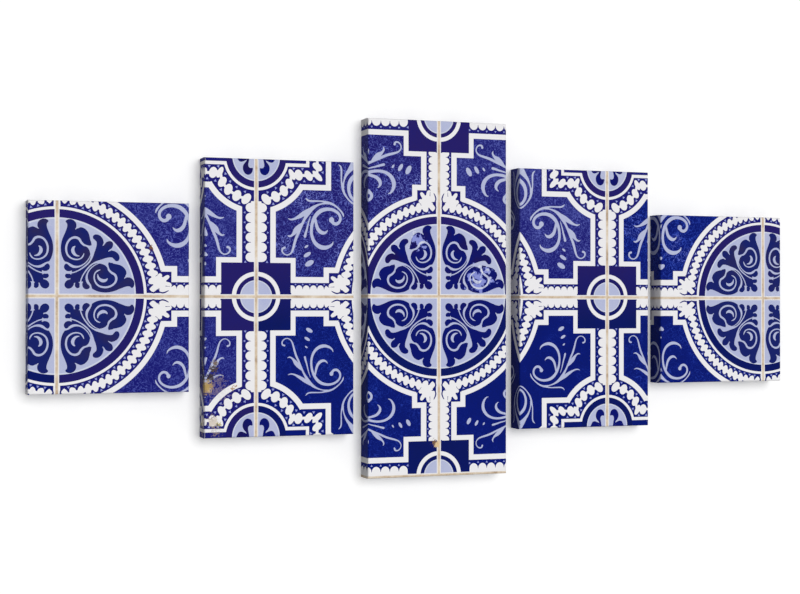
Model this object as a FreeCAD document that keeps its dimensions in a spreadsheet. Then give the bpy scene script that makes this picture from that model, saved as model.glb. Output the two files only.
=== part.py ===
"""Five-part canvas picture: five printed canvases of three heights, stretched over pine frames.

The set lies flat, picture side up, in the order in which it hangs. X runs to the picture's right,
Y to its top and Z out of its face. The origin is under the middle of the centre canvas, on the
plane that the backs lie on.

Each canvas is one cloth that wraps four stretcher bars: over the face, round the rounded front
edges, down the sides and 20 mm in under the back, where staples hold it. The bars meet in slip
mitres: each upright bar carries a tongue through the corner, and each cross bar is slotted for it.
A bevel falls away from a narrow lip on the bars' front, so that the cloth touches the lip alone.
"""
import FreeCAD, Part
import math
import os
import Sketcher

os.makedirs("parts", exist_ok=True)

doc = FreeCAD.newDocument("canvas_set")

# Driving dimensions, in millimetres
SIZES = {
    # the set
    "panel_width": 250,
    "outer_height": 300,
    "inner_height": 450,
    "centre_height": 600,
    "panel_gap": 25,
    "panel_depth": 38,
    # the cloth
    "cloth_thickness": 0.5,
    "back_margin": 20,
    "slit_width": 2,
    "slit_start": 5,
    "fold_run": 26,
    "fold_top": 6,
    # the stretcher bars
    "bar_width": 28,
    "edge_round": 2,
    "lip_width": 6,
    "bevel_drop": 3,
    "back_bevel": 1,
    "tongue_thickness": 12,
    "joint_clearance": 0.1,
    # the staples
    "crown_length": 10,
    "wire_width": 1.2,
    "leg_length": 8,
    "staple_inset": 11,
    "staple_corner_gap": 45,
    "staple_pitch": 62,
}
sheet = doc.addObject("Spreadsheet::Sheet", "sizes")
for row, (alias, size) in enumerate(SIZES.items(), start=1):
    sheet.set(f"A{row}", alias)
    sheet.set(f"B{row}", str(size))
    sheet.setAlias(f"B{row}", alias)
doc.recompute()

# Sizes worked out from the driving ones, as expressions
CLOTH = "sizes.cloth_thickness"
BAR_DEPTH = "(sizes.panel_depth - 2 * sizes.cloth_thickness)"
TONGUE_LOW = f"({BAR_DEPTH} - sizes.tongue_thickness) / 2"
TONGUE_HIGH = f"({BAR_DEPTH} + sizes.tongue_thickness) / 2"

# The five canvases from left to right: name, place in the row, height
PANELS = [
    ("left_outer", -2, "sizes.outer_height"),
    ("left_inner", -1, "sizes.inner_height"),
    ("centre", 0, "sizes.centre_height"),
    ("right_inner", 1, "sizes.inner_height"),
    ("right_outer", 2, "sizes.outer_height"),
]


def number(expression):
    """The value of an expression on the sheet, as a plain number."""
    found = sheet.evalExpression(expression)
    return float(getattr(found, "Value", found))


def plane_of(body, role):
    """The body's own origin plane of that role."""
    return next(p for p in body.Origin.OriginFeatures if p.Role == role)


def draw(body, name, role, outlines, height=None):
    """A sketch of closed outlines whose corners are pairs of expressions, at a height off the plane."""
    sketch = body.newObject("Sketcher::SketchObject", name)
    sketch.AttachmentSupport = [(plane_of(body, role), "")]
    sketch.MapMode = "FlatFace"
    if height is not None:
        sketch.setExpression("AttachmentOffset.Base.z", height)
    for corners in outlines:
        first = sketch.GeometryCount
        places = [FreeCAD.Vector(number(x), number(y), 0) for x, y in corners]
        count = len(places)
        for i, place in enumerate(places):
            sketch.addGeometry(Part.LineSegment(place, places[(i + 1) % count]))
        for i in range(count):
            following = first + (i + 1) % count
            sketch.addConstraint(Sketcher.Constraint("Coincident", first + i, 2, following, 1))
        for i, (x, y) in enumerate(corners):
            for direction, expression, size in (("DistanceX", x, places[i].x), ("DistanceY", y, places[i].y)):
                bond = Sketcher.Constraint(direction, -1, 1, first + i, 1, size)
                index = sketch.addConstraint(bond)
                sketch.setExpression(f"Constraints[{index}]", expression)
    doc.recompute()
    return sketch


def pad(body, name, sketch, length, both_sides=False, backwards=False):
    """Material raised on a sketch."""
    feature = body.newObject("PartDesign::Pad", name)
    feature.Profile = sketch
    feature.setExpression("Length", length)
    feature.Midplane = both_sides
    feature.Reversed = backwards
    doc.recompute()
    return feature


def pocket(body, name, sketch, depth):
    """Material removed from a sketch upwards. It has to remove some."""
    before = body.Shape.Volume
    feature = body.newObject("PartDesign::Pocket", name)
    feature.Profile = sketch
    feature.setExpression("Length", depth)
    feature.Reversed = True
    doc.recompute()
    if body.Shape.Volume >= before - 1e-6:
        raise ValueError(f"{body.Label}: {name} cut nothing")
    return feature


def round_front_edges(body, feature, radius, height, only_outer=False):
    """Fillet on the edges that lie level at a height, or on the one along the outer face alone."""
    level = number(height)
    chosen = []
    for i, edge in enumerate(feature.Shape.Edges, start=1):
        ends = [v.Point for v in edge.Vertexes]
        at_level = all(abs(p.z - level) < 1e-6 for p in ends)
        if at_level and (not only_outer or all(abs(p.y) < 1e-6 for p in ends)):
            chosen.append(f"Edge{i}")
    fillet = body.newObject("PartDesign::Fillet", "rounded_front")
    fillet.Base = (feature, chosen)
    fillet.setExpression("Radius", radius)
    doc.recompute()
    return fillet


def stretcher_bar(label, length, has_tongues):
    """One bar along its own X, outer face at Y 0, back at Z 0: profile, round-over and mitred ends."""
    body = doc.addObject("PartDesign::Body", label + "_bar")
    width = "sizes.bar_width"
    profile = draw(body, "profile", "YZ_Plane", [[
        ("0", "0"),
        (f"{width} - sizes.back_bevel", "0"),
        (width, "sizes.back_bevel"),
        (width, f"{BAR_DEPTH} - sizes.bevel_drop"),
        ("sizes.lip_width", BAR_DEPTH),
        ("0", BAR_DEPTH),
    ]])
    stock = pad(body, "stock", profile, length, both_sides=True)
    round_front_edges(body, stock, "sizes.edge_round", BAR_DEPTH, only_outer=True)

    def mitres(name, height=None):
        """The triangles outside the mitre lines at both ends."""
        outlines = []
        for side in ("", "-"):
            end = f"{side}({length}) / 2"
            back = f"{side}(({length}) / 2 - {width})"
            outlines.append([(end, "0"), (end, width), (back, width)])
        return draw(body, name, "XY_Plane", outlines, height)

    if has_tongues:
        pocket(body, "back_mitres", mitres("back_mitre_lines"), TONGUE_LOW)
        front = mitres("front_mitre_lines", TONGUE_HIGH)
        pocket(body, "front_mitres", front, f"{BAR_DEPTH} - {TONGUE_HIGH}")
        return body
    pocket(body, "mitres", mitres("mitre_lines"), BAR_DEPTH)
    clearance = "sizes.joint_clearance"
    slots = []
    for side in ("", "-"):
        end = f"{side}({length}) / 2"
        root = f"{side}(({length}) / 2 - {width} - {clearance})"
        slots.append([(end, "0"), (end, width), (root, width), (root, "0")])
    slot_lines = draw(body, "slot_lines", "XY_Plane", slots, f"{TONGUE_LOW} - {clearance}")
    pocket(body, "slots", slot_lines, f"sizes.tongue_thickness + 2 * {clearance}")
    return body


def wrapped_cloth(label, height):
    """The cloth of one canvas: face, sides, folded corners and back margins, as one piece."""
    body = doc.addObject("PartDesign::Body", label + "_cloth")
    x, y = "sizes.panel_width / 2", f"{height} / 2"
    outline = [("-" + x, "-" + y), (x, "-" + y), (x, y), ("-" + x, y)]
    block = pad(body, "block", draw(body, "outline", "XY_Plane", [outline]), "sizes.panel_depth")
    rounded = round_front_edges(body, block, f"sizes.edge_round + {CLOTH}", "sizes.panel_depth")
    back_face = next(
        f"Face{i}" for i, face in enumerate(rounded.Shape.Faces, start=1)
        if abs(face.CenterOfMass.z) < 1e-6
    )
    shell = body.newObject("PartDesign::Thickness", "shell")
    shell.Base = (rounded, [back_face])
    shell.setExpression("Value", CLOTH)
    shell.Reversed = True
    doc.recompute()

    in_x, in_y = f"({x} - sizes.back_margin)", f"({y} - sizes.back_margin)"
    opening = [("-" + in_x, "-" + in_y), (in_x, "-" + in_y), (in_x, in_y), ("-" + in_x, in_y)]
    margins = draw(body, "margin_lines", "XY_Plane", [outline, opening])
    pad(body, "margins", margins, CLOTH)

    # a slit along each diagonal, where the two turned margins meet
    half = "sizes.slit_width / 2"
    slits = []
    for sx, sy in (("", ""), ("-", ""), ("-", "-"), ("", "-")):
        deep = f"(sizes.back_margin + {half})"
        slits.append([
            (f"{sx}({x} - {deep})", f"{sy}({y} - {deep} + {half})"),
            (f"{sx}({x} - {deep} + {half})", f"{sy}({y} - {deep})"),
            (f"{sx}({x} - sizes.slit_start)", f"{sy}({y} - sizes.slit_start - {half})"),
            (f"{sx}({x} - sizes.slit_start - {half})", f"{sy}({y} - sizes.slit_start)"),
        ])
    pocket(body, "slits", draw(body, "slit_lines", "XY_Plane", slits), CLOTH)

    # the spare cloth of each corner, folded flat over the top and bottom sides
    flap_top = "(sizes.panel_depth - sizes.fold_top)"
    flaps = [
        [(f"{side}{x}", "0"), (f"{side}{x}", flap_top), (f"{side}({x} - sizes.fold_run)", "0")]
        for side in ("", "-")
    ]
    for end, sign, outwards in (("top", "", True), ("bottom", "-", False)):
        # the plane's own normal points to -Y
        lines = draw(body, f"{end}_fold_lines", "XZ_Plane", flaps, f"-({sign}{y})")
        pad(body, f"{end}_folds", lines, CLOTH, backwards=outwards)
    return body


def staple_places(height):
    """Centre and turn of each staple on one canvas's back, evenly spaced along the four bars."""
    half_width, half_height = number("sizes.panel_width") / 2, number(height) / 2
    inset, corner = number("sizes.staple_inset"), number("sizes.staple_corner_gap")
    pitch = number("sizes.staple_pitch")

    def along(half):
        run = 2 * (half - corner)
        gaps = max(1, math.ceil(run / pitch))
        return [-run / 2 + run * i / gaps for i in range(gaps + 1)]

    for side in (-1, 1):
        for x in along(half_width):
            yield x, side * (half_height - inset), 0
        for y in along(half_height):
            yield side * (half_width - inset), y, 90


def staples(label, height):
    """All staples of one canvas: a crown let into the cloth and two legs in the wood."""
    crown, wire = number("sizes.crown_length"), number("sizes.wire_width")
    leg, thickness = number("sizes.leg_length"), number(CLOTH)
    shapes = []
    for x, y, turn in staple_places(height):
        staple = Part.makeBox(crown, wire, thickness, FreeCAD.Vector(-crown / 2, -wire / 2, 0))
        for left in (-crown / 2, crown / 2 - thickness):
            staple = staple.fuse(Part.makeBox(thickness, wire, leg, FreeCAD.Vector(left, -wire / 2, 0)))
        staple = staple.removeSplitter()
        staple.Placement = FreeCAD.Placement(
            FreeCAD.Vector(x, y, 0), FreeCAD.Rotation(FreeCAD.Vector(0, 0, 1), turn)
        )
        shapes.append(staple)
    feature = doc.addObject("Part::Feature", label + "_staples")
    feature.Shape = Part.makeCompound(shapes)
    return feature


def place(feature, x="0", y="0", z="0", turn=0):
    """Turns a feature about Z and moves it to a place given by expressions."""
    feature.Placement = FreeCAD.Placement(
        FreeCAD.Vector(0, 0, 0), FreeCAD.Rotation(FreeCAD.Vector(0, 0, 1), turn)
    )
    for axis, expression in zip("xyz", (x, y, z)):
        feature.setExpression(f"Placement.Base.{axis}", expression)


def pierced(label, piece, tool):
    """The piece with the staples' own holes in it, as the finished sub-part."""
    cut = doc.addObject("Part::Cut", label)
    cut.Base = piece
    cut.Tool = tool
    return cut


sub_parts = []
for panel, row_place, height in PANELS:
    middle = f"{row_place} * (sizes.panel_width + sizes.panel_gap)"
    edge_x, edge_y = f"(sizes.panel_width / 2 - {CLOTH})", f"({height} / 2 - {CLOTH})"

    fixings = staples(panel, height)
    place(fixings, middle)
    fixings.Label = f"staples_{panel}"

    bars = [
        ("bottom_rail", f"2 * {edge_x}", False, middle, f"-{edge_y}", 0),
        ("top_rail", f"2 * {edge_x}", False, middle, edge_y, 180),
        ("left_stile", f"2 * {edge_y}", True, f"{middle} - {edge_x}", "0", -90),
        ("right_stile", f"2 * {edge_y}", True, f"{middle} + {edge_x}", "0", 90),
    ]
    for name, length, has_tongues, x, y, turn in bars:
        bar = stretcher_bar(f"{name}_{panel}", length, has_tongues)
        place(bar, x, y, CLOTH, turn)
        sub_parts.append(pierced(f"{name}_{panel}", bar, fixings))

    cloth = wrapped_cloth(panel, height)
    place(cloth, middle)
    sub_parts.append(pierced(f"canvas_{panel}", cloth, fixings))
    sub_parts.append(fixings)

doc.recompute()

for thing in doc.Objects:
    if "Invalid" in thing.State or "Error" in thing.State:
        raise ValueError(f"{thing.Label} failed: {thing.State}")
for sub_part in sub_parts:
    shape = sub_part.Shape
    if shape.isNull() or not shape.isValid():
        raise ValueError(f"{sub_part.Label} has no valid shape")
    shape.exportStep(os.path.join("parts", sub_part.Label + ".step"))
    box = shape.BoundBox
    print(f"{sub_part.Label}: {len(shape.Solids)} solid(s), {shape.Volume / 1000:.2f} cm3, "
          f"{box.XLength:.1f} x {box.YLength:.1f} x {box.ZLength:.1f} mm")
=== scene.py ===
"""Dresses the five-part canvas picture: printed cloth, raw cloth, pine frames and staples.

The set lies on the floor, picture side up. X runs to the picture's right, Y to its top and Z out
of its face, in metres. The picture is a wall of old glazed tiles in cobalt blue. One tile is drawn
from outlines, mirrored from joint to joint as the real tiles are laid, and carried over the rounded
edges on to the sides, where it is mirrored as on any wrapped canvas.
"""
import logging
import math
from dataclasses import dataclass, field
from enum import Enum, IntEnum

import bmesh
import bpy
from mathutils import Euler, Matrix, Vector
from mathutils.geometry import delaunay_2d_cdt


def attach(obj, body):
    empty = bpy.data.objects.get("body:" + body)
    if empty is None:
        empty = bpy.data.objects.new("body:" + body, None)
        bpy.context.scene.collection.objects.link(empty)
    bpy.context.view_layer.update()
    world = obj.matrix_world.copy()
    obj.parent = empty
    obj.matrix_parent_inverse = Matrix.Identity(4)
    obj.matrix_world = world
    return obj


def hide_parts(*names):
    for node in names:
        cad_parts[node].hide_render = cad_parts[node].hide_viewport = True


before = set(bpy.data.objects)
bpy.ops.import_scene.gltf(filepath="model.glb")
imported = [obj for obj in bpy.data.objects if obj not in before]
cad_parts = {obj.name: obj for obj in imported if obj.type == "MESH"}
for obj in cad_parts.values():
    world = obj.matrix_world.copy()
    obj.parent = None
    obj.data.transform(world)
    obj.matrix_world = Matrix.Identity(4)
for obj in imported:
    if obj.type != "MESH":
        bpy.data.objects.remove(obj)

log = logging.getLogger("canvas_picture")

Point = tuple[float, float]
Outline = list[Point]
Course = list[tuple[float, float, float]]
Face = bmesh.types.BMFace
Vert = bmesh.types.BMVert
Material = bpy.types.Material
Node = bpy.types.Node
NodeTree = bpy.types.NodeTree
Socket = bpy.types.NodeSocket

MM = 0.001
ON_LINE = 1e-7
NEAR = 1e-6
WELD = 2e-6
SIDES = ((0, -1), (0, 1), (1, -1), (1, 1))
CORNERS = ((-1, -1), (-1, 1), (1, -1), (1, 1))


class Ink(Enum):
    """What lies on the cloth, as shares of cobalt, broken wash, tile joint and bare cloth."""

    GLAZE = (0.0, 0.0, 0.0, 0.0)
    RIM = (0.14, 0.0, 0.0, 0.0)
    WASH = (0.3, 0.1, 0.0, 0.0)
    DROP = (0.42, 0.1, 0.0, 0.0)
    FIELD = (0.89, 1.0, 0.0, 0.0)
    COBALT = (0.88, 0.2, 0.0, 0.0)
    LEAF = (0.94, 0.12, 0.0, 0.0)
    NAVY = (0.98, 0.12, 0.0, 0.0)
    EDGE = (0.02, 0.0, 0.35, 0.0)
    JOINT = (0.0, 0.0, 1.0, 0.0)
    BARE = (0.0, 0.0, 0.0, 1.0)


def along_arc(centre: Point, radius: float, start: float, end: float, step: float = 0.008) -> Outline:
    """Points on an arc.

    Args:
        centre: Middle of the circle.
        radius: Its radius.
        start: First angle in degrees from +X.
        end: Last angle in degrees.
        step: Longest distance between two points.

    Returns:
        The points, both ends included.
    """
    turn = math.radians(end - start)
    count = max(2, math.ceil(abs(turn) * radius / step))
    angles = [math.radians(start) + turn * i / count for i in range(count + 1)]
    return [(centre[0] + radius * math.cos(a), centre[1] + radius * math.sin(a)) for a in angles]


def smooth(course: Course, closed: bool = False, pieces: int = 6) -> Course:
    """A Catmull-Rom curve through points that carry a width.

    Args:
        course: Points as (x, y, width).
        closed: Whether the last point runs on into the first.
        pieces: Straight pieces between two given points.

    Returns:
        The denser course.
    """
    count = len(course)
    result = []
    for i in range(count if closed else count - 1):
        if closed:
            knots = [course[(i + k) % count] for k in (-1, 0, 1, 2)]
        else:
            knots = [course[min(max(i + k, 0), count - 1)] for k in (-1, 0, 1, 2)]
        for step in range(pieces):
            t = step / pieces
            weights = (
                (-t + 2 * t**2 - t**3) / 2,
                (2 - 5 * t**2 + 3 * t**3) / 2,
                (t + 4 * t**2 - 3 * t**3) / 2,
                (-(t**2) + t**3) / 2,
            )
            result.append(tuple(sum(w * k[axis] for w, k in zip(weights, knots)) for axis in range(3)))
    if not closed:
        result.append(course[-1])
    return result


@dataclass
class Drawing:
    """Painted areas in the order in which they were laid on; a later one covers the earlier ones."""

    areas: list[tuple[Ink, Outline]] = field(default_factory=list)

    def area(self, ink: Ink, outline: Outline) -> None:
        """Lays on a closed area."""
        self.areas.append((ink, outline))

    def box(self, ink: Ink, left: float, low: float, right: float, high: float, corner: float = 0.0) -> None:
        """Lays on an upright box.

        Args:
            ink: Its ink.
            left: Its least x.
            low: Its least y.
            right: Its greatest x.
            high: Its greatest y.
            corner: Radius of its corners, 0 for sharp ones.
        """
        if corner == 0.0:
            self.area(ink, [(left, low), (right, low), (right, high), (left, high)])
            return
        outline = []
        near_x, far_x, near_y, far_y = left + corner, right - corner, low + corner, high - corner
        middles = ((far_x, far_y), (near_x, far_y), (near_x, near_y), (far_x, near_y))
        for i, middle in enumerate(middles):
            outline += along_arc(middle, corner, 90 * i, 90 * (i + 1), corner / 2)
        self.area(ink, outline)

    def sector(self, ink: Ink, centre: Point, inner: float, outer: float, start: float, end: float) -> None:
        """Lays on a piece of a ring, or of a disc where inner is 0."""
        inside = along_arc(centre, inner, end, start) if inner else [centre]
        self.area(ink, along_arc(centre, outer, start, end) + inside)

    def bead(self, ink: Ink, centre: Point, half_width: float, half_length: float, tilt: float,
             square: float = 2.0) -> None:
        """Lays on a rounded bead.

        Args:
            ink: Its ink.
            centre: Its middle.
            half_width: Half its size across.
            half_length: Half its size along.
            tilt: Direction of its length, in degrees from +X.
            square: 2 for an ellipse, more for fuller corners.
        """
        turn = math.radians(tilt)
        outline = []
        for i in range(20):
            angle = 2 * math.pi * i / 20
            c, s = math.cos(angle), math.sin(angle)
            along = half_length * math.copysign(abs(c) ** (2 / square), c)
            across = half_width * math.copysign(abs(s) ** (2 / square), s)
            outline.append((
                centre[0] + along * math.cos(turn) - across * math.sin(turn),
                centre[1] + along * math.sin(turn) + across * math.cos(turn),
            ))
        self.area(ink, outline)

    def triangle(self, ink: Ink, centre: Point, size: float, pointing: float) -> None:
        """Lays on a small three-cornered dab that points in a direction in degrees."""
        angles = [math.radians(pointing + turn) for turn in (0, 120, 240)]
        self.area(ink, [(centre[0] + size * math.cos(a), centre[1] + size * math.sin(a)) for a in angles])

    def leaf(self, ink: Ink, knots: Outline, pieces: int = 5) -> None:
        """Lays on an area with one smooth outline through the knots."""
        dense = smooth([(x, y, 0.0) for x, y in knots], closed=True, pieces=pieces)
        self.area(ink, [(x, y) for x, y, _ in dense])

    def stroke(self, ink: Ink, course: Course, pieces: int = 5) -> None:
        """Lays on a brush stroke whose width changes along its course, with round ends.

        Args:
            ink: Its ink.
            course: Points as (x, y, width).
            pieces: Straight pieces between two given points.
        """
        dense = smooth(course, pieces=pieces)
        left, right = [], []
        last = len(dense) - 1
        for i, (x, y, width) in enumerate(dense):
            before, after = dense[max(i - 1, 0)], dense[min(i + 1, last)]
            run = math.hypot(after[0] - before[0], after[1] - before[1])
            across = (-(after[1] - before[1]) / run * width / 2, (after[0] - before[0]) / run * width / 2)
            left.append((x + across[0], y + across[1]))
            right.append((x - across[0], y - across[1]))
        ahead = self.round_end(dense[-1], dense[-2])
        behind = self.round_end(dense[0], dense[1])
        self.area(ink, left + ahead + right[::-1] + behind)

    def round_end(self, end: tuple[float, float, float], follow: tuple[float, float, float]) -> Outline:
        """The round tip of a stroke.

        Args:
            end: The stroke's last point and its width.
            follow: The point before it.

        Returns:
            Points from its left side to its right; none where it ends in a point.
        """
        if end[2] <= 0.004:
            return []
        heading = math.degrees(math.atan2(end[1] - follow[1], end[0] - follow[0]))
        return along_arc(end[:2], end[2] / 2, heading + 90, heading - 90, end[2] / 4)[1:-1]


def flipped(points: list) -> list:
    """Points measured from the square's corner, seen from the rosette's corner, widths kept."""
    return [(1 - p[0], *p[1:]) for p in points]


def fine(*knots: tuple) -> list:
    """Knots given in thousandths of the tile's side."""
    return [tuple(value / 1000 for value in knot) for knot in knots]


@dataclass
class Tile:
    """One glazed tile, in lengths of its own side.

    X runs from the rosette's corner to the square's corner, and the lobed corner is at (1, 1).
    The tile is drawn up to its diagonal and is its own mirror image across it.
    """

    strap: float = 0.03
    edge: float = 0.012
    joint: float = 0.0062
    rosette: float = 0.405
    dark_ring: float = 0.447
    thin_ring: float = 0.461
    rope_line: float = 0.507
    strap_inside: float = 0.551
    strap_outside: float = 0.579
    bead_turn: float = 4.45
    square: Point = (0.192, 0.182)
    step_low: float = 0.075
    step_left: float = 0.378
    step_high: float = 0.13
    side_strap: float = 0.078
    lobe: Point = (0.0, 0.752)
    lobe_outside: float = 0.312
    lobe_inside: float = 0.281
    arm_low: float = 0.58
    star_end: float = 0.562
    neck: float = 0.0108
    past_diagonal: float = 46
    scroll_weight: float = 1.0
    drawing: Drawing = field(default_factory=Drawing)

    @property
    def lobe_middle(self) -> Point:
        """Middle of the lobe, seen from the rosette's corner."""
        return flipped([self.lobe])[0]

    def draw(self) -> Drawing:
        """Lays the whole tile on, from the ground to the joint."""
        self.grounds()
        self.straps()
        self.scallops()
        self.rope()
        self.star()
        self.medallion()
        self.trefoil()
        self.field_scroll()
        self.rosette_ground()
        self.acanthus()
        self.joints()
        return self.drawing

    def from_square(self, ink: Ink, points: list) -> None:
        """Lays on an outline measured from the square's corner."""
        self.drawing.area(ink, flipped(points))

    def box_from_square(self, ink: Ink, near: float, low: float, far: float, high: float,
                        corner: float = 0.0) -> None:
        """Lays on a box measured from the square's corner."""
        self.drawing.box(ink, 1 - far, low, 1 - near, high, corner)

    def beads(self, ink: Ink, rows: tuple, wide: float = 1.0, long: float = 1.0, square: float = 2.0,
              flip: bool = False) -> None:
        """Lays on beads one by one.

        Args:
            ink: Their ink.
            rows: x, y, half length and half width in thousandths of the side, and tilt in degrees.
            wide: What the widths are multiplied by.
            long: What the lengths are multiplied by.
            square: 2 for ellipses, more for fuller corners.
            flip: Whether they are measured from the square's corner.
        """
        for *sizes, tilt in rows:
            x, y, length, width = (size / 1000 for size in sizes)
            if flip:
                x, tilt = 1 - x, 180 - tilt
            self.drawing.bead(ink, (x, y), width * wide, length * long, tilt, square)

    def grounds(self) -> None:
        """The speckled field, and the plain blue behind ropes and scallops."""
        d = self.drawing
        d.box(Ink.FIELD, 0, 0, 1, 1)
        hidden = self.strap / 3
        d.sector(Ink.COBALT, (0, 0), 0, self.strap_inside + hidden, 0, self.past_diagonal)
        self.box_from_square(Ink.COBALT, self.step_left + 0.02, 0, 0.47, self.step_high + hidden)
        self.box_from_square(Ink.COBALT, 0, 0, self.step_left + 0.02, self.step_low + hidden)
        self.box_from_square(Ink.COBALT, 0, 0, self.side_strap + hidden, 0.5)
        d.sector(Ink.COBALT, self.lobe_middle, 0, self.lobe_inside + hidden, 90, 270)
        self.box_from_square(Ink.COBALT, 0.2, self.arm_low + hidden, 0.4, 0.8)

    def straps(self) -> None:
        """The white strap that steps round the square and swells round the rosette and the lobe."""
        d = self.drawing
        wide = self.strap
        low, left, high = self.step_low, self.step_left, self.step_high
        near, top = self.square
        side = self.side_strap
        white = Ink.GLAZE
        d.sector(white, (0, 0), self.strap_inside, self.strap_outside, 14.2, self.past_diagonal)
        inside_x = 1 - math.sqrt(self.strap_inside**2 - high**2)
        outside_x = 1 - math.sqrt(self.strap_outside**2 - (high + wide) ** 2)
        step = [(left, high), (inside_x, high), (outside_x, high + wide), (left, high + wide)]
        self.from_square(white, step)
        self.box_from_square(white, left, low, left + wide, high + wide)
        self.box_from_square(white, near, low, left + wide, low + wide + 0.002)
        self.box_from_square(white, near, low, near + wide - 0.003, top + wide - 0.002)
        self.box_from_square(white, side, top, near + wide - 0.003, top + wide - 0.002)
        x, y = self.lobe
        inner, outer = self.lobe_inside, self.lobe_outside
        foot_in = y - math.sqrt(inner**2 - side**2)
        foot_out = y - math.sqrt(outer**2 - (side + wide) ** 2)
        self.from_square(white, [(side, top), (side + wide, top), (side + wide, foot_out), (side, foot_in)])
        d.sector(white, self.lobe_middle, inner, outer, 209.5, 253.5)
        arm = self.arm_low
        hip_in = math.sqrt(inner**2 - (y - arm - wide) ** 2)
        hip_out = math.sqrt(outer**2 - (y - arm) ** 2)
        end = 0.43
        self.from_square(white, [(hip_in, arm + wide), (hip_out, arm), (end, arm), (end, arm + wide)])

    def scallops(self) -> None:
        """White scalloped borders along both edges, with a pale dab over each valley."""
        d = self.drawing
        self.box_from_square(Ink.GLAZE, self.square[0] + 0.003, 0, 0.442, 0.0405)
        self.box_from_square(Ink.GLAZE, 0, self.square[1] + 0.004, 0.029, 0.512, corner=0.004)
        first, pitch = 0.1985, 0.0405
        for i in range(6):
            middle = first + i * pitch
            d.bead(Ink.GLAZE, (1 - middle, 0.0405), 0.0196, 0.0215, 90)
            if i < 5:
                d.triangle(Ink.DROP, (1 - middle - pitch / 2, 0.066), 0.0065, 90)
        first, pitch = 0.2115, 0.0532
        for i in range(6):
            middle = first + i * pitch
            d.bead(Ink.GLAZE, (1 - 0.03, middle), 0.0256, 0.0285, 0)
            d.triangle(Ink.DROP, (1 - 0.0635, middle + pitch / 2), 0.0075, 180)
        d.triangle(Ink.DROP, (1 - 0.06, self.square[1] + 0.004), 0.008, 90)

    def rope(self) -> None:
        """The chains of beads round the rosette and the lobe, with a pale dab in every notch."""
        d = self.drawing
        line, neck = self.rope_line, self.neck
        d.sector(Ink.GLAZE, (0, 0), line - neck, line + neck, 10, self.past_diagonal)
        for i in range(9):
            angle = 45 - self.bead_turn * i
            lean = min(14, 5 * i)
            turn = math.radians(angle)
            middle = (line * math.cos(turn), line * math.sin(turn))
            d.bead(Ink.GLAZE, middle, 0.0163, 0.0285, angle - lean)
            notch = math.radians(angle - self.bead_turn / 2)
            for radius, pointing in ((line + 0.031, 180), (line - 0.034, 0)):
                dab = (radius * math.cos(notch), radius * math.sin(notch))
                d.triangle(Ink.DROP, dab, 0.0085, angle + pointing)
        lobe_beads = (
            (55, 524, 34, 24, -50), (107, 540, 32, 25, -62), (153, 572, 32, 24, -68),
            (186, 611, 31, 22, -55), (199, 662, 33, 16, -62), (236, 660, 31, 25, -75),
            (292, 658, 32, 21, -55), (344, 662, 40, 22, -48),
        )
        d.stroke(Ink.GLAZE, flipped(fine(*((x, y, 15) for x, y, *_ in lobe_beads))), pieces=3)
        self.beads(Ink.GLAZE, lobe_beads, wide=0.9, long=0.97, flip=True)
        for x, y, pointing in (
            (62, 562, 250), (94, 500, 90), (108, 586, 250), (150, 530, 120),
            (143, 615, 250), (169, 655, 200), (193, 570, 120), (208, 694, 250),
            (224, 616, 100), (257, 694, 270), (268, 627, 90), (322, 628, 90),
        ):
            d.triangle(Ink.DROP, (1 - x / 1000, y / 1000), 0.009, 180 - pointing)

    def star(self) -> None:
        """The burst of petals in which the rope ends."""
        d = self.drawing
        d.box(Ink.COBALT, self.thin_ring, self.edge, self.star_end, 0.05)
        d.box(Ink.GLAZE, self.thin_ring, 0, self.star_end, 0.017)
        d.box(Ink.GLAZE, 0.53, 0, 0.61, 0.052)
        self.beads(Ink.GLAZE, ((530, 70, 36, 34, 20), (516, 96, 12, 12, 0)))
        petals = (
            (494, 78, 24, 15, 8), (499, 42, 29, 16.5, 40), (544, 41, 20.5, 19, 90),
            (568, 65.5, 24, 11.5, -9), (560, 95, 24, 12.5, 34), (526, 100, 22, 14, 62),
        )
        self.beads(Ink.GLAZE, petals, wide=0.92, square=2.4)
        d.area(Ink.COBALT, fine((617, 70.5), (607, 59), (589, 47.8), (597, 63.5), (603, 70.5)))
        d.stroke(Ink.COBALT, fine(
            (577, 31, 4), (561, 22.5, 7), (545, 18.5, 7.5), (530, 22.5, 7), (522, 29, 7), (511, 22.5, 7),
            (498, 18.5, 7.5), (484, 22.5, 9), (472, 32, 12),
        ))
        d.stroke(Ink.COBALT, fine((526, 43.5, 3), (525.5, 34, 6), (524.5, 27, 7)))

    def medallion(self) -> None:
        """The dark square and the quarter roundel in its corner."""
        d = self.drawing
        self.box_from_square(Ink.NAVY, self.edge, self.edge, *self.square, corner=0.007)
        corner = (1, 0)
        for ink, radius in ((Ink.GLAZE, 0.1335), (Ink.NAVY, 0.1105), (Ink.RIM, 0.0885), (Ink.WASH, 0.083)):
            d.sector(ink, corner, 0, radius, 90, 180)

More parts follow.
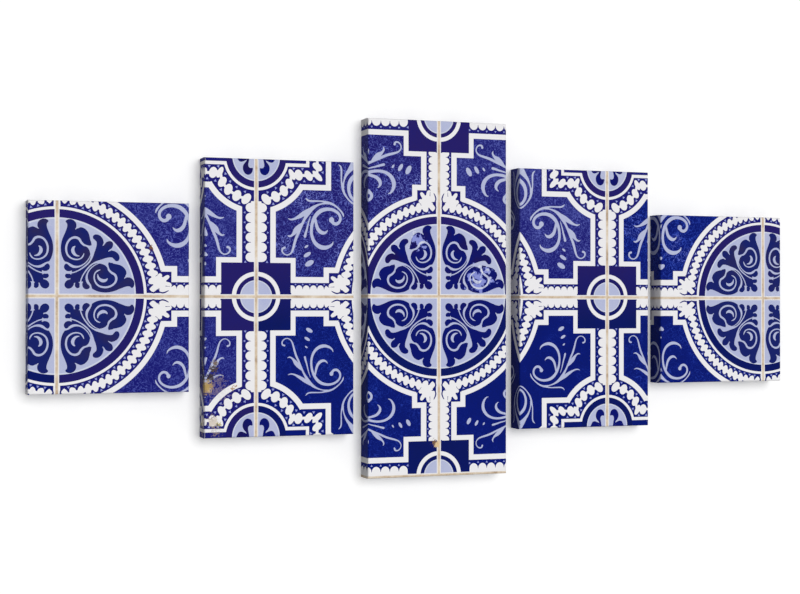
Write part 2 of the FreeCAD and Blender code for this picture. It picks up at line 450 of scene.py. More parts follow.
    def trefoil(self) -> None:
        """The lobed corner's dark ring, its thin white strap and the scroll leaves in it."""
        d = self.drawing
        middle = self.lobe_middle
        d.sector(Ink.GLAZE, middle, 0, 0.182, 180, 270)
        self.box_from_square(Ink.GLAZE, 0.155, 0.704, 0.296, 0.722)
        self.box_from_square(Ink.COBALT, 0.15, 0.722, 0.278, 0.9)
        for ink, radius in ((Ink.NAVY, 0.1665), (Ink.RIM, 0.1315), (Ink.WASH, 0.1255)):
            d.sector(ink, middle, 0, radius, 180, 270)
        d.leaf(Ink.LEAF, flipped(fine(
            (20, 690), (21, 672), (31, 658), (47, 653), (63, 661), (73, 680), (73, 700), (64, 716),
            (54, 729), (48, 765), (36, 765), (40, 730), (44, 710), (41, 696), (32, 690),
        )))
        d.leaf(Ink.LEAF, flipped(fine((52, 737), (68, 726), (85, 722), (99, 731), (108, 765), (60, 765))))

    def field_scroll(self) -> None:
        """The pale acanthus scroll on the speckled field, with its branch, leaves and petals."""
        d = self.drawing
        curl = fine(
            (432, 302, 3), (427, 288, 10), (410, 275, 16), (385, 268, 22), (359, 272, 24),
            (335, 287, 21), (318, 311, 18), (309, 342, 16), (309, 377, 16), (317, 412, 18),
            (335, 445, 21), (361, 468, 22), (392, 478, 19), (423, 477, 17), (450, 466, 16),
            (468, 448, 15), (473, 427, 15), (466, 409, 16), (451, 399, 18), (435, 402, 18),
            (425, 414, 20),
        )
        inner = fine(
            (329, 430, 12), (335, 398, 16), (344, 371, 19), (361, 353, 21), (379, 348, 17),
            (393, 354, 10), (401, 364, 3),
        )
        sprig = fine(
            (276, 537, 3), (286, 526, 9), (303, 521, 10), (332, 521, 9), (364, 521, 8),
            (390, 516, 13), (410, 512, 14), (433, 504, 12), (457, 488, 9), (476, 470, 9),
            (488, 453, 10), (492, 438, 3),
        )
        branch = fine(
            (402, 511, 12), (372, 508, 8), (341, 498, 12), (312, 480, 21), (288, 452, 22),
            (268, 419, 14), (253, 388, 14), (237, 350, 14), (223, 320, 15), (213, 290, 14),
            (205, 260, 12), (195, 238, 9), (177, 226, 7), (158, 229, 7), (145, 243, 9),
            (146, 259, 11), (157, 264, 13),
        )
        upper_leaf = fine(
            (303, 476, 18), (272, 456, 26), (244, 438, 22), (216, 423, 12), (194, 418, 9),
            (177, 423, 3),
        )
        lower_leaf = fine(
            (256, 398, 10), (240, 382, 22), (222, 360, 30), (204, 337, 14), (187, 327, 10),
            (174, 331, 3),
        )
        drop = fine(
            (303, 438, 3), (292, 405, 7), (284, 372, 10), (276, 345, 13), (272, 328, 15),
        )
        weight = self.scroll_weight
        for course in (curl, inner, sprig, branch, upper_leaf, lower_leaf, drop):
            d.stroke(Ink.WASH, flipped([(x, y, width * weight) for x, y, width in course]))
        d.bead(Ink.WASH, flipped([(0.423, 0.420)])[0], 0.0145 * weight, 0.0155 * weight, 90)
        petals = ((280, 273, 12, 6, 35), (285, 229, 23, 10.5, 31), (297, 182, 27, 14, 29))
        self.beads(Ink.WASH, petals, wide=weight, long=weight, flip=True)

    def rosette_ground(self) -> None:
        """The rosette's pale disc, its dark ring and its thin white ring."""
        for ink, radius in (
            (Ink.GLAZE, self.thin_ring), (Ink.NAVY, self.dark_ring), (Ink.RIM, self.rosette),
            (Ink.WASH, self.rosette - 0.008),
        ):
            self.drawing.sector(ink, (0, 0), 0, radius, 0, self.past_diagonal)

    def acanthus(self) -> None:
        """The dark acanthus of the rosette, with the pale lines scratched through it."""
        d = self.drawing
        scroll = fine(
            (172, 46), (186, 34), (213, 23), (250, 19), (288, 25), (323, 39), (353, 50), (372, 51),
            (384, 43), (394, 52), (397, 69), (390, 86), (375, 97), (357, 99), (350, 104),
            (356, 121), (349, 141), (331, 158), (307, 166), (288, 170), (276, 180), (265, 178),
            (260, 163), (258, 148), (246, 160), (225, 168), (200, 170), (176, 158), (158, 135),
            (150, 110), (150, 85), (160, 63),
        )
        stem = fine(
            (75, 75), (98, 68), (120, 75), (138, 75), (158, 85), (160, 120), (174, 150), (197, 172),
            (228, 190), (258, 200), (280, 201), (291, 192), (300, 183), (313, 184), (320, 197),
            (316, 216), (301, 231), (280, 238), (266, 238), (280, 250), (286, 266), (282, 282),
            (262, 290), (200, 240), (100, 130),
        )
        d.leaf(Ink.LEAF, scroll)
        d.leaf(Ink.LEAF, stem)
        self.beads(Ink.LEAF, ((63, 62, 26, 21, 50), (104, 57, 16.5, 13.5, 100), (149.5, 59, 24, 21.5, 100)))
        wedge = fine(
            (119, 36, 6), (118, 60, 6), (122, 84, 6), (133, 110, 6), (151, 137, 7), (172, 160, 7),
            (198, 176, 8), (226, 184, 11), (254, 187, 18), (282, 183, 20),
        )
        vein = fine(
            (174, 38, 8), (169, 55, 9), (157, 72, 13), (151, 90, 12), (153, 112, 8), (163, 133, 6),
            (179, 151, 5), (198, 164, 4), (220, 172, 2),
        )
        spiral = fine(
            (250, 177, 16), (259, 155, 8), (265, 136, 10), (279, 122, 11), (296, 111, 12),
            (303, 92, 12), (296, 70, 10), (275, 53, 10), (246, 46, 10), (216, 52, 9), (197, 70, 8),
            (189, 95, 7), (193, 118, 6), (206, 131, 7), (221, 137, 3),
        )
        crescent = fine(
            (207, 114, 3), (210, 98, 10), (220, 86, 15), (235, 80, 17), (249, 83, 12), (256, 90, 6),
        )
        nicks = (
            fine((345, 92, 3), (352, 100, 7), (364, 105, 12)),
            fine((262, 233, 3), (272, 240, 7), (288, 247, 11)),
            fine((303, 172, 3), (292, 178, 8), (284, 186, 12)),
        )
        for course in (wedge, vein, spiral, crescent, *nicks):
            d.stroke(Ink.WASH, course)

    def joints(self) -> None:
        """The white rim of the tile and the joint that it shares with the next one."""
        d = self.drawing
        for ink, reach in ((Ink.GLAZE, self.edge), (Ink.EDGE, self.joint + 0.003), (Ink.JOINT, self.joint)):
            d.box(ink, 0, 0, 1, reach)
            d.box(ink, 1 - reach, 0, 1, 1)


@dataclass
class PaintedTile:
    """The tile's drawing cut into triangles that each lie in one ink, up to the tile's diagonal."""

    drawing: Drawing
    corners: list[Vector] = field(default_factory=list)
    faces: list[tuple[int, ...]] = field(default_factory=list)
    inks: list[Ink] = field(default_factory=list)

    def cut(self) -> None:
        """Cuts the drawing along every outline; the ink laid on last shows."""
        half_tile = [(0.0, 0.0), (1.0, 0.0), (1.0, 1.0)]
        points: list[Vector] = []
        outlines: list[list[int]] = []
        for outline in [half_tile] + [shape for _, shape in self.drawing.areas]:
            first = len(points)
            points += [Vector(point) for point in self.anticlockwise(outline)]
            outlines.append(list(range(first, len(points))))
        corners, _, faces, _, _, owners = delaunay_2d_cdt(points, [], outlines, 1, NEAR, True)
        self.corners = [self.snapped(corner) for corner in corners]
        for face, within in zip(faces, owners):
            if 0 in within and not self.on_border([self.corners[i] for i in face]):
                self.faces.append(tuple(face))
                self.inks.append(self.drawing.areas[max(within) - 1][0])

    @staticmethod
    def anticlockwise(outline: Outline) -> Outline:
        """The outline, turned round if it runs clockwise."""
        doubled = sum(a[0] * b[1] - b[0] * a[1] for a, b in zip(outline, outline[1:] + outline[:1]))
        return outline if doubled > 0 else outline[::-1]

    @staticmethod
    def snapped(corner: Vector, near: float = 1e-4) -> Vector:
        """A corner, moved on to the tile's edge or diagonal where it lies close to it.

        Args:
            corner: The corner.
            near: How close is close.

        Returns:
            Its new place.
        """
        x, y = corner
        if abs(y) < near:
            y = 0.0
        if abs(x - 1) < near:
            x = 1.0
        if abs(x - y) < near:
            x = y = max(x, y)
        return Vector((x, y))

    @staticmethod
    def on_border(corners: list[Vector]) -> bool:
        """Whether a triangle has run out to nothing on the tile's edge or diagonal."""
        return any(all(flat(c) for c in corners) for flat in (
            lambda c: c.y == 0.0, lambda c: c.x == 1.0, lambda c: c.x == c.y,
        ))


@dataclass
class Canvas:
    """One canvas of the set: its size, its place in the row and where the tile joints cross it."""

    name: str
    place: int
    height: float
    crossing: Point
    node: tuple[int, int]
    width: float = 250 * MM
    pitch: float = 275 * MM
    depth: float = 38 * MM
    tile: float = 302 * MM

    @property
    def middle(self) -> Vector:
        """The canvas's middle on the floor."""
        return Vector((self.place * self.pitch, 0, 0))

    def on_wall(self, x: float, y: float) -> Point:
        """The place on the tiled wall, in tiles, of a point measured from the canvas's middle."""
        return (
            self.node[0] + (x - self.crossing[0]) / self.tile,
            self.node[1] + (y - self.crossing[1]) / self.tile,
        )


def faces_in(geometry: list) -> list:
    """The faces among the elements that a mesh operator gives back."""
    return [item for item in geometry if isinstance(item, Face)]


class Part(IntEnum):
    """Which stretch of the cloth a face of the sheet belongs to."""

    FACE = 0
    SIDE_X = 1
    SIDE_Y = 2
    FLAP = 3


@dataclass
class WrappedSheet:
    """The printed cloth of one canvas, cut flat and then folded round its frame.

    The flat cloth is measured from its middle. Past the frame's front edge the picture is mirrored.
    """

    canvas: Canvas
    upper: PaintedTile
    lower: PaintedTile
    rounding: float = 2.5 * MM
    thickness: float = 0.5 * MM
    margin: float = 20 * MM
    bleed: float = 3 * MM
    slit: float = 0.9 * MM
    fold_top: float = 6 * MM
    fold_run: float = 26 * MM
    lift: float = 0.12 * MM
    arc_pieces: int = 6
    lining_scale: float = 0.22
    sharp: float = math.radians(35)
    map_gap: float = 1 * MM
    mesh: bmesh.types.BMesh = field(default_factory=bmesh.new)

    @property
    def half(self) -> Point:
        """Half the face's width and height, measured to the middle of the rounded edge."""
        return self.canvas.width / 2, self.canvas.height / 2

    @property
    def side(self) -> float:
        """Length of cloth from the middle of the rounded edge to the fold at the back."""
        return self.rounding * math.pi / 4 + self.canvas.depth - self.rounding

    @property
    def reach(self) -> float:
        """Length of cloth from the middle of the rounded edge to the cut edge on the back."""
        return self.side + self.margin

    def build(self) -> bpy.types.Object:
        """Cuts, mirrors and folds the cloth.

        Returns:
            The finished sheet, as an object at the origin.
        """
        self.part_layer = self.mesh.faces.layers.int.new("part")
        self.ink_layer = self.mesh.faces.layers.int.new("ink number")
        self.flat_layer = self.mesh.verts.layers.float_vector.new("flat")
        self.wall_layer = self.mesh.verts.layers.float_vector.new("picture")
        self.lay_tiles()
        self.trim_face()
        self.mirror_sides()
        self.cut_flaps()
        self.trim_margins()
        self.score_folds()
        self.note_places()
        self.fold()
        self.hem_flaps()
        self.line_inside()
        return self.finish()

    def lay_tiles(self) -> None:
        """Lays mirrored copies of the tile over the canvas's face."""
        half_x, half_y = self.half
        low = self.canvas.on_wall(-half_x, -half_y)
        high = self.canvas.on_wall(half_x, half_y)
        for column in range(math.floor(low[0]), math.ceil(high[0])):
            for row in range(math.floor(low[1]), math.ceil(high[1])):
                self.lay_half_tile(column, row, swapped=False)
                self.lay_half_tile(column, row, swapped=True)
        bmesh.ops.remove_doubles(self.mesh, verts=self.mesh.verts, dist=NEAR)

    def lay_half_tile(self, column: int, row: int, swapped: bool) -> None:
        """Lays one half of a tile.

        Args:
            column: The tile's column on the wall.
            row: Its row.
            swapped: Whether this is the half across the diagonal.
        """
        canvas = self.canvas
        inks = list(Ink)
        tile = self.upper if row >= 0 else self.lower
        verts = []
        for corner in tile.corners:
            x, y = (corner.y, corner.x) if swapped else (corner.x, corner.y)
            x = column + (1 - x if column % 2 else x)
            y = row + (1 - y if row % 2 else y)
            verts.append(self.mesh.verts.new((
                canvas.crossing[0] + (x - canvas.node[0]) * canvas.tile,
                canvas.crossing[1] + (y - canvas.node[1]) * canvas.tile,
                0.0,
            )))
        turned = (column + row + swapped) % 2 == 1
        for face, ink in zip(tile.faces, tile.inks):
            around = [verts[i] for i in (reversed(face) if turned else face)]
            self.mesh.faces.new(around)[self.ink_layer] = inks.index(ink)
        loose = [vert for vert in verts if not vert.link_faces]
        bmesh.ops.delete(self.mesh, geom=loose, context="VERTS")

    def of_part(self, part: Part) -> list:
        """The faces of one stretch of the cloth."""
        return [face for face in self.mesh.faces if face[self.part_layer] == part]

    @staticmethod
    def past(faces: list, axis: int, sign: int, place: float) -> list:
        """The faces whose middles lie beyond a place, to the side that sign gives."""
        return [face for face in faces if sign * (face.calc_center_median()[axis] - place) > 0]

    def cut_across(self, axis: int, place: float, faces: list, clear: int = 0) -> list:
        """Cuts the flat cloth along an upright or a level line.

        Args:
            axis: 0 for a line at a place along X, 1 along Y.
            place: Where the line is.
            faces: The faces to cut.
            clear: 1 to clear what lies past the line, -1 what lies before it, 0 nothing.

        Returns:
            The faces after the cut.
        """
        point, normal = [0.0, 0.0], [0.0, 0.0]
        point[axis] = place
        normal[axis] = clear or 1
        return self.cut_line(point, normal, faces, clear=clear != 0)

    def cut_line(self, point: list, normal: list, faces: list, clear: bool) -> list:
        """Cuts the flat cloth along any line.

        Args:
            point: A point on the line.
            normal: Across the line, to the side that may be cleared.
            faces: The faces to cut.
            clear: Whether that side is cleared.

        Returns:
            The faces after the cut.
        """
        offset = point[0] * normal[0] + point[1] * normal[1]
        crossed, clean = [], []
        for face in faces:
            heights = [v.co.x * normal[0] + v.co.y * normal[1] - offset for v in face.verts]
            touched = max(heights) > -ON_LINE and (clear or min(heights) < ON_LINE)
            (crossed if touched else clean).append(face)
        # Dictionaries keep the order in which the cut goes the same in every run; sets don't.
        edges = dict.fromkeys(edge for face in crossed for edge in face.edges)
        verts = dict.fromkeys(vert for face in crossed for vert in face.verts)
        result = bmesh.ops.bisect_plane(
            self.mesh, geom=[*verts, *edges, *crossed], dist=ON_LINE, plane_co=(*point, 0.0),
            plane_no=(*normal, 0.0), clear_outer=clear,
        )
        return clean + faces_in(result["geom"])

    def trim_face(self) -> None:
        """Cuts the laid tiles off at the face's edges."""
        for axis, sign in SIDES:
            self.cut_across(axis, sign * self.half[axis], list(self.mesh.faces), clear=sign)

    def mirrored(self, axis: int, sign: int, reach: float, source: Part, part: Part) -> None:
        """Adds the picture mirrored past one edge.

        Args:
            axis: 0 for the left or right edge, 1 for the top or bottom one.
            sign: Which of the two edges.
            reach: How far past the edge the copy goes.
            source: The stretch that is copied.
            part: What the copy is.
        """
        edge = sign * self.half[axis]
        start = edge - sign * reach
        self.cut_across(axis, start, list(self.mesh.faces))
        chosen = self.past(self.of_part(source), axis, sign, start)
        faces = faces_in(bmesh.ops.duplicate(self.mesh, geom=chosen)["geom"])
        for vert in dict.fromkeys(vert for face in faces for vert in face.verts):
            vert.co[axis] = 2 * edge - vert.co[axis]
        bmesh.ops.reverse_faces(self.mesh, faces=faces)
        for face in faces:
            face[self.part_layer] = part

    def mirror_sides(self) -> None:
        """Adds the cloth of the four sides and of the four corners."""
        for axis, reach, source, part in (
            (1, self.reach, Part.FACE, Part.SIDE_Y),
            (0, self.side, Part.SIDE_Y, Part.FLAP),
            (0, self.reach, Part.FACE, Part.SIDE_X),
        ):
            for sign in (-1, 1):
                self.mirrored(axis, sign, reach, source, part)

    def cut_flaps(self) -> None:
        """Leaves of each corner only the three-cornered fold that shows on the top or bottom side."""
        start = self.side - (self.canvas.depth - self.fold_top)
        for sign_x, sign_y in CORNERS:
            corner = [sign_x * (self.half[0] + start), sign_y * self.half[1]]
            away = [-sign_x * self.fold_run, sign_y * (self.side - start)]
            flap = [
                face for face in self.of_part(Part.FLAP)
                if face.verts[0].co.x * sign_x > 0 and face.verts[0].co.y * sign_y > 0
            ]
            self.cut_line(corner, away, flap, clear=True)

    def trim_margins(self) -> None:
        """Mitres the margins on the back, and leaves them bare past the print's bleed."""
        for axis, sign in SIDES:
            part = (Part.SIDE_X, Part.SIDE_Y)[axis]
            along = 1 - axis
            fold = sign * (self.half[axis] + self.side)
            printed = fold + sign * self.bleed
            self.cut_across(axis, fold, self.of_part(part))
            self.cut_across(axis, printed, self.of_part(part), clear=sign)
            for end in (-1, 1):
                point, normal = [fold, fold], [sign, sign]
                point[along], normal[along] = end * (self.half[along] - self.slit), end
                self.cut_across(along, point[along], self.of_part(part))
                strip = self.past(self.of_part(part), axis, sign, fold)
                strip = faces_in(bmesh.ops.split(self.mesh, geom=strip)["geom"])
                self.cut_line(point, normal, strip, clear=True)
            self.add_bare_margin(axis, sign, printed, part)

    def add_bare_margin(self, axis: int, sign: int, printed: float, part: Part) -> None:
        """Adds the bare end of one margin.

        Args:
            axis: 0 for the left or right side, 1 for the top or bottom one.
            sign: Which of the two sides.
            printed: Where the print's bleed ends.
            part: The stretch that the margin belongs to.
        """
        along = 1 - axis
        line = sorted(
            (vert for vert in self.mesh.verts if abs(vert.co[axis] - printed) < ON_LINE),
            key=lambda vert: vert.co[along],
        )
        end = [0.0, 0.0, 0.0]
        end[axis] = sign * (self.half[axis] + self.reach)
        around = line
        for side in (1, -1):
            end[along] = side * (self.half[along] - self.slit - self.margin)
            around.append(self.mesh.verts.new(end))
        if (sign > 0) == (axis == 0):
            around.reverse()
        face = self.mesh.faces.new(around)
        face[self.ink_layer] = list(Ink).index(Ink.BARE)
        face[self.part_layer] = part

    def score_folds(self) -> None:
        """Cuts the cloth along the rounded edges, so that it can bend there."""
        arc = self.rounding * math.pi / 2
        for axis, sign in SIDES:
            first, last = self.half[axis] - arc / 2, self.half[axis] + arc / 2
            faces = []
            for face in self.mesh.faces:
                reach = [sign * vert.co[axis] for vert in face.verts]
                if max(reach) > first - ON_LINE and min(reach) < last + ON_LINE:
                    faces.append(face)
            for step in range(self.arc_pieces + 1):
                place = sign * (first + arc * step / self.arc_pieces)
                faces = self.cut_across(axis, place, faces)
        for sign in (-1, 1):
            self.cut_across(1, sign * (self.half[1] + self.thickness), self.of_part(Part.FLAP))

    def note_places(self) -> None:
        """Keeps each point's place on the flat cloth and on the tiled wall."""
        half_x, half_y = self.half
        for vert in self.mesh.verts:
            x, y = vert.co.x, vert.co.y
            vert[self.flat_layer] = (x, y, 0.0)
            x = math.copysign(min(abs(x), 2 * half_x - abs(x)), x)
            y = math.copysign(min(abs(y), 2 * half_y - abs(y)), y)
            vert[self.wall_layer] = (*self.canvas.on_wall(x, y), 0.0)

    def bend(self, past: float, half: float) -> tuple[float, float, float]:
        """Where the cloth is across one edge, at a distance along it.

        Args:
            past: Distance along the cloth past the middle of the rounded edge, below 0 on the face.
            half: Half the frame's size across this edge.

        Returns:
            The distance from the canvas's middle line, the drop below the face, and how far the
            rounding has run out, from 0 on the face to 1 at its end on the side.
        """
        radius = self.rounding
        arc = radius * math.pi / 2
        if past <= -arc / 2:
            return (past + half) * (half - radius) / (half - arc / 2), 0.0, 0.0
        if past <= arc / 2:
            angle = (past + arc / 2) / radius
            run_out = max(0.0, 1 - (1 - math.sin(angle)) / (1 - math.sin(math.pi / 4)))
            return half - radius + radius * math.sin(angle), radius * (1 - math.cos(angle)), run_out
        drop = radius + past - arc / 2
        lowest = self.canvas.depth - self.lift
        return half - max(0.0, drop - self.canvas.depth), min(drop, lowest), 1.0

    def folded(self, flat: Vector, part: Part) -> Vector:
        """The place in space of a point of the flat cloth.

        Args:
            flat: The point, from the cloth's middle.
            part: The stretch that it belongs to.

        Returns:
            The point round the frame, from the canvas's own middle.
        """
        half_x, half_y = self.half
        sign_x, sign_y = math.copysign(1, flat.x), math.copysign(1, flat.y)
        past_x, past_y = abs(flat.x) - half_x, abs(flat.y) - half_y
        across_x, drop_x, out_x = self.bend(past_x, half_x)
        across_y, drop_y, out_y = self.bend(past_y, half_y)
        if part == Part.FLAP:
            out = max(0.0, min(past_y, self.thickness))
            across_x, across_y = half_x - max(0.0, past_y) + out, half_y + out
            return Vector((sign_x * across_x, sign_y * across_y, self.canvas.depth - drop_x))
        if part == Part.SIDE_X:
            across_y += (abs(flat.y) - across_y) * out_x
            drop_y *= 1 - out_x
        if part == Part.SIDE_Y:
            across_x += (abs(flat.x) - across_x) * out_y
            drop_x *= 1 - out_y
        return Vector((sign_x * across_x, sign_y * across_y, self.canvas.depth - drop_x - drop_y))

    def fold(self) -> None:
        """Moves the flat cloth round the frame, and joins its stretches along the edges."""
        part_of = {}
        for face in self.mesh.faces:
            for vert in face.verts:
                part_of[vert] = Part(face[self.part_layer])
        for vert, part in part_of.items():
            vert.co = self.folded(vert.co, part)
        bmesh.ops.remove_doubles(self.mesh, verts=self.mesh.verts, dist=WELD)
        for sign_x, sign_y in CORNERS:
            self.zip_corner(Vector((sign_x * self.half[0], sign_y * self.half[1])))

    def zip_corner(self, corner: Vector) -> None:
        """Joins the two stretches of cloth that meet down one upright corner.

        Args:
            corner: Where the corner is, seen from above.
        """
        line = [
            edge for edge in self.mesh.edges
            if all((vert.co.xy - corner).length < NEAR for vert in edge.verts)
        ]
        heights = sorted({vert.co.z for edge in line for vert in edge.verts})
        for edge in line:
            low, high = sorted(edge.verts, key=lambda vert: vert.co.z)
            for height in heights:
                if low.co.z + WELD < height < high.co.z - WELD:
                    share = (height - low.co.z) / (high.co.z - low.co.z)
                    pieces = (edge, *bmesh.utils.edge_split(edge, low, share))
                    edge = next(piece for piece in pieces[:2] if high in piece.verts)
                    low = pieces[2]
        joined = [vert for vert in self.mesh.verts if (vert.co.xy - corner).length < NEAR]
        bmesh.ops.remove_doubles(self.mesh, verts=joined, dist=WELD)

    def hem_flaps(self) -> None:
        """Turns the free edge of each folded corner down on to the side under it."""
        half_y = self.half[1]
        edges = [
            edge for edge in self.mesh.edges
            if edge.is_boundary and all(abs(v.co.y) > half_y + self.thickness / 2 for v in edge.verts)
        ]
        self.extrude_rim(edges, Part.FLAP)
        for vert in self.rim:
            vert.co.y = math.copysign(half_y, vert.co.y)

    def extrude_rim(self, edges: list, part: Part) -> None:
        """Extrudes free edges; the faces take their neighbours' ink, and the caller moves the points.

        Args:
            edges: The free edges.
            part: The stretch that the new faces belong to.
        """
        grown = bmesh.ops.extrude_edge_only(self.mesh, edges=edges)["geom"]
        self.rim = [item for item in grown if isinstance(item, Vert)]
        for face in faces_in(grown):
            face[self.part_layer] = part

    def on_side(self, vert: Vert) -> bool:
        """Whether a point lies on one of the four upright sides."""
        return max(abs(vert.co.x) - self.half[0], abs(vert.co.y) - self.half[1]) > -NEAR

    def line_inside(self) -> None:
        """Adds the cloth's raw inner side and closes the cut edges of the margins."""
        gap = self.thickness
        half_x, half_y = self.half[0] - gap, self.half[1] - gap
        edges = [
            edge for edge in self.mesh.edges
            if edge.is_boundary and all(vert.co.z < 2 * self.lift for vert in edge.verts)
            and not all(self.on_side(vert) for vert in edge.verts)
        ]
        self.extrude_rim(edges, Part.SIDE_X)
        starts = []
        for vert in self.rim:
            vert.co.z = gap
            if self.on_side(vert):
                starts.append(vert)
                vert.co.x = max(-half_x, min(half_x, vert.co.x))
                vert.co.y = max(-half_y, min(half_y, vert.co.y))
        inset = self.rounding - gap
        top = self.ring(half_x - inset, half_y - inset, self.canvas.depth - gap)
        shoulder = self.ring(half_x, half_y, self.canvas.depth - self.rounding)
        foot = self.ring(half_x, half_y, gap)
        linings = [self.mesh.faces.new(top[::-1])]
        for i in range(4):
            j = (i + 1) % 4
            across = 1 - i % 2
            place = foot[i].co[across]
            ends = sorted(
                (vert for vert in starts if abs(vert.co[across] - place) < ON_LINE),
                key=lambda vert: (vert.co - foot[j].co).length,
            )
            linings.append(self.mesh.faces.new([top[i], top[j], shoulder[j], shoulder[i]]))
            linings.append(self.mesh.faces.new([shoulder[i], shoulder[j], foot[j], *ends, foot[i]]))
            linings.append(self.mesh.faces.new(self.rim_path(ends[0], ends[1])))
        for face in linings:
            face.normal_update()
            face[self.ink_layer] = list(Ink).index(Ink.BARE)
            face.material_index = 1

    def ring(self, x: float, y: float, z: float) -> list:
        """Four new points at the corners of an upright box's section, anticlockwise from above."""
        return [self.mesh.verts.new((i * x, j * y, z)) for i, j in ((-1, -1), (1, -1), (1, 1), (-1, 1))]

    def rim_path(self, first: Vert, last: Vert) -> list:
        """The rim of one margin.

        Args:
            first: One end of the margin's fold.
            last: Its other end.

        Returns:
            The rim's points from the one to the other.
        """
        rim = set(self.rim)
        path, previous = [first], last
        while path[-1] is not last:
            here = path[-1]
            near = [edge.other_vert(here) for edge in here.link_edges]
            path.append(next(vert for vert in near if vert in rim and vert is not previous))
            previous = here
        return path

    def lining_place(self, face: Face, vert: Vert) -> Vector:
        """Where a point of the raw inner side lies when that side is unfolded.

        Args:
            face: The face that it is taken with.
            vert: The point.

        Returns:
            Its place on the flat cloth.
        """
        centre = face.calc_center_median()
        place = vert.co.xy.copy()
        top = self.canvas.depth - self.thickness
        if centre.z < top - NEAR:
            axis = 0 if self.half[0] - abs(centre.x) < self.half[1] - abs(centre.y) else 1
            out = abs(vert.co[axis])
            if vert.co.z < 2 * self.thickness:
                out = 2 * self.half[axis] - out
            place[axis] = math.copysign(out + top - vert.co.z, centre[axis])
        return place

    def finish(self) -> bpy.types.Object:
        """Writes the mesh, its ink and its flat map.

        Returns:
            The sheet's object.
        """
        name = f"printed_canvas_{self.canvas.name}"
        inks = [ink.value for ink in Ink]
        colours = self.mesh.loops.layers.float_color.new("ink")
        cloth = self.mesh.loops.layers.float_vector.new("cloth")
        flat_map = self.mesh.loops.layers.uv.new("OFBake")
        end_x, end_y = self.half[0] + self.reach, self.half[1] + self.reach
        low = Vector((-end_x, -end_y))
        size = max(2 * end_x * (1 + self.lining_scale) + 2 * self.map_gap, 2 * end_y)
        beside = Vector((end_x * (1 + self.lining_scale) + self.map_gap, 0))
        for face in self.mesh.faces:
            ink = inks[face[self.ink_layer]]
            face.smooth = True
            for loop in face.loops:
                loop[colours] = ink
                if face.material_index == 1:
                    place = self.lining_place(face, loop.vert)
                    shown = place * self.lining_scale + beside
                else:
                    shown = place = loop.vert[self.flat_layer].xy
                loop[cloth] = place.to_3d()
                loop[flat_map].uv = (shown - low) / size
        for edge in self.mesh.edges:
            edge.smooth = edge.is_manifold and edge.calc_face_angle(0) < self.sharp
        for vert in self.mesh.verts:
            vert.co += self.canvas.middle
        mesh = bpy.data.meshes.new(name)
        self.mesh.to_mesh(mesh)
        self.mesh.free()
        sheet = bpy.data.objects.new(name, mesh)
        bpy.context.scene.collection.objects.link(sheet)
        return sheet


def shade(red: int, green: int, blue: int) -> tuple[float, float, float, float]:
    """A given colour, as the linear colour that shaders take.

    Args:
        red: Its red on a 0 to 255 scale.
        green: Its green.
        blue: Its blue.

    Returns:
        The linear colour, with its alpha.
    """
    linear = []
    for value in (red, green, blue):
        share = value / 255
        linear.append(share / 12.92 if share <= 0.04045 else ((share + 0.055) / 1.055) ** 2.4)
    return (*linear, 1.0)


